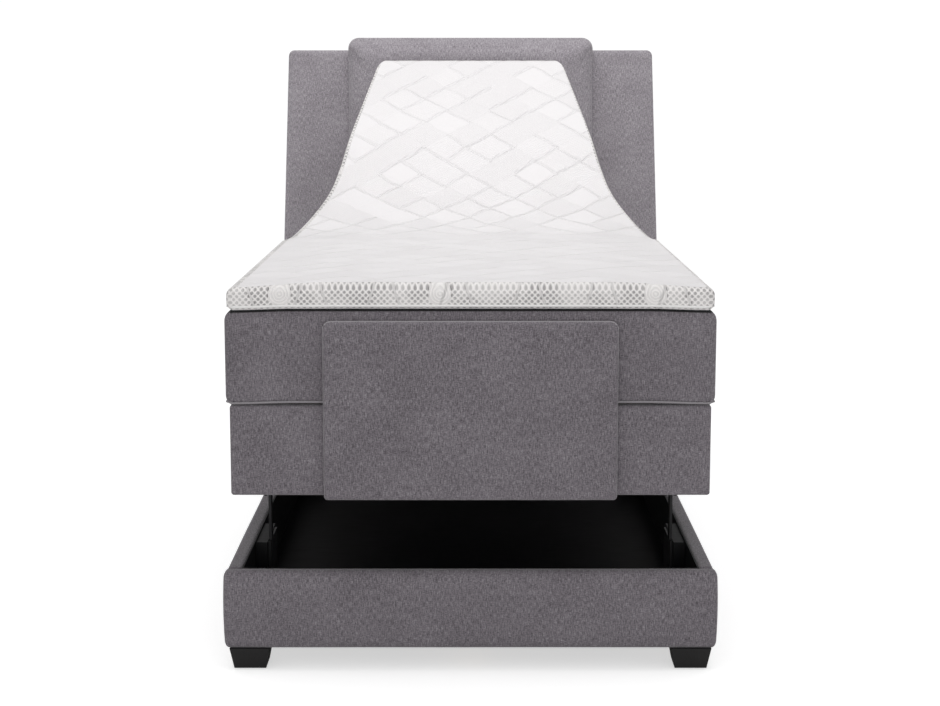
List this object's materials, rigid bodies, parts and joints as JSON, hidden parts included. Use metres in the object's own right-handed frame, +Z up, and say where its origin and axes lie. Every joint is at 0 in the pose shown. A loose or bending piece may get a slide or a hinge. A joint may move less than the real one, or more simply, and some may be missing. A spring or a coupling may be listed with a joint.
{
  "type": "adjustable bed base",
  "caption": "Single box-spring bed with raised back rest and quilted topper, whose upper box lifts level over a storage base; padded headboard behind and front panel at the foot.",
  "frame": {"origin": "centre of the bounding box in X and Y, at the floor under the feet", "axes": "+X across the bed to the right seen from the foot, +Y along the bed from the foot end to the headboard, +Z up"},
  "size_m": [1.212, 2.19, 1.349],
  "materials": {
    "grey_fabric": "woven",
    "mattress_fabric": "woven",
    "topper_fabric": "quilted knit",
    "black_lining": "matte black",
    "dust_cloth": "non-woven",
    "raw_wood": "sawn",
    "black_wood": "black stain",
    "felt": "felt",
    "black_steel": "powder coat",
    "steel": "bright",
    "grey_steel": "powder coat",
    "slat_wood": "beech ply",
    "black_plastic": "moulded",
    "white_plastic": "nylon"
  },
  "bodies": {
    "storage_base": {"storage_front": "grey_fabric", "storage_left_rail": "grey_fabric", "storage_right_rail": "grey_fabric", "storage_rear_rail": "grey_fabric", "storage_floor": "black_lining", "floor_bearers": "raw_wood", "storage_lining": "black_lining", "feet": "black_wood", "foot_glides": "felt", "lift_battens": "black_lining", "lift_plates": "black_steel", "headboard_panel": "grey_fabric", "headboard_cushion": "grey_fabric", "headboard_spacers": "raw_wood", "headboard_bolts": "steel"},
    "rear_lift_arms": {"rear_arm_left": "black_steel", "rear_arm_right": "black_steel", "rear_cross_tube": "black_steel"},
    "front_lift_arms": {"front_arm_left": "black_steel", "front_arm_right": "black_steel", "front_cross_tube": "black_steel"},
    "gas_cylinders": {"gas_cylinder_left": "black_steel", "gas_cylinder_right": "black_steel"},
    "gas_rods": {"gas_rod_left": "steel", "gas_rod_right": "steel"},
    "upper_box": {"box_front_rail": "grey_fabric", "box_rear_rail": "grey_fabric", "box_left_rail": "grey_fabric", "box_right_rail": "grey_fabric", "box_dust_cover": "dust_cloth", "box_cross_battens": "raw_wood", "box_lift_plates": "black_steel", "front_panel": "grey_fabric", "frame_side_tubes": "grey_steel", "frame_cross_tubes": "grey_steel", "frame_brackets": "grey_steel", "seat_slats": "slat_wood", "drive_housing_tray": "black_plastic", "drive_housing_cover": "black_plastic", "drive_motors": "black_plastic", "drive_spindles": "steel", "mains_inlet": "black_plastic", "mattress_seat": "mattress_fabric", "topper_seat": "topper_fabric"},
    "back_section": {"back_frame": "grey_steel", "back_slats": "slat_wood", "mattress_back": "mattress_fabric", "topper_back": "topper_fabric"},
    "thigh_section": {"thigh_frame": "grey_steel", "thigh_slats": "slat_wood", "mattress_thigh": "mattress_fabric", "topper_thigh": "topper_fabric"},
    "calf_section": {"calf_frame": "grey_steel", "calf_slats": "slat_wood", "mattress_calf": "mattress_fabric", "topper_calf": "topper_fabric"},
    "back_torsion_shaft": {"back_lift_shaft": "grey_steel"},
    "leg_torsion_shaft": {"leg_lift_shaft": "grey_steel"},
    "back_nut": {"back_drive_nut": "white_plastic"},
    "leg_nut": {"leg_drive_nut": "white_plastic"}
  },
  "joints": [
    {"name": "storage_lift", "type": "hinge", "parent": "storage_base", "child": "rear_lift_arms", "pos_m": [0, 0.235, 0.31508], "axis": [1, 0, 0], "range_deg": [-18.89, 6]},
    {"name": "box_level", "type": "hinge", "parent": "rear_lift_arms", "child": "upper_box", "pos_m": [0, 0.726, 0.4095], "axis": [1, 0, 0], "range_deg": [-6, 18.89]},
    {"name": "front_arm_swing", "type": "hinge", "parent": "storage_base", "child": "front_lift_arms", "pos_m": [0, -0.765, 0.31508], "axis": [1, 0, 0], "range_deg": [-18.89, 6]},
    {"name": "gas_cylinder_swing", "type": "hinge", "parent": "storage_base", "child": "gas_cylinders", "pos_m": [0, 0.295, 0.14508], "axis": [1, 0, 0], "range_deg": [-9.42, 2.99]},
    {"name": "gas_rod_stroke", "type": "slide", "parent": "gas_cylinders", "child": "gas_rods", "axis": [0, 0.4968, 0.8679], "range_m": [-0.0472, 0.015]},
    {"name": "back_tilt", "type": "hinge", "parent": "upper_box", "child": "back_section", "pos_m": [0, 0.061, 0.5335], "axis": [1, 0, 0], "range_deg": [-36.5, 23.5]},
    {"name": "back_shaft_turn", "type": "hinge", "parent": "upper_box", "child": "back_torsion_shaft", "pos_m": [0, 0.001, 0.4885], "axis": [1, 0, 0], "range_deg": [-27.19, 17.51]},
    {"name": "back_nut_travel", "type": "slide", "parent": "upper_box", "child": "back_nut", "axis": [0, 1, 0], "range_m": [-0.01944, 0.01252]},
    {"name": "leg_lift", "type": "hinge", "parent": "upper_box", "child": "thigh_section", "pos_m": [0, -0.189, 0.5335], "axis": [-1, 0, 0], "range_deg": [0, 30]},
    {"name": "knee_bend", "type": "hinge", "parent": "thigh_section", "child": "calf_section", "pos_m": [0, -0.489, 0.5335], "axis": [-1, 0, 0], "range_deg": [-44.85, 0]},
    {"name": "leg_shaft_turn", "type": "hinge", "parent": "upper_box", "child": "leg_torsion_shaft", "pos_m": [0, -0.129, 0.4885], "axis": [-1, 0, 0], "range_deg": [0, 22.56]},
    {"name": "leg_nut_travel", "type": "slide", "parent": "upper_box", "child": "leg_nut", "axis": [0, -1, 0], "range_m": [-0.00001, 0.01644]}
  ],
  "couplings": [
    {"joint": "box_level", "follows": "storage_lift", "ratio": -1},
    {"joint": "front_arm_swing", "follows": "storage_lift", "ratio": 1},
    {"joint": "gas_cylinder_swing", "follows": "storage_lift", "ratio": 0.4989},
    {"joint": "gas_rod_stroke", "follows": "storage_lift", "m_per_rad": 0.14316},
    {"joint": "back_shaft_turn", "follows": "back_tilt", "ratio": 0.745},
    {"joint": "back_nut_travel", "follows": "back_tilt", "m_per_rad": 0.0305},
    {"joint": "knee_bend", "follows": "leg_lift", "ratio": -1.495},
    {"joint": "leg_shaft_turn", "follows": "leg_lift", "ratio": 0.752},
    {"joint": "leg_nut_travel", "follows": "leg_lift", "m_per_rad": 0.031381}
  ]
}
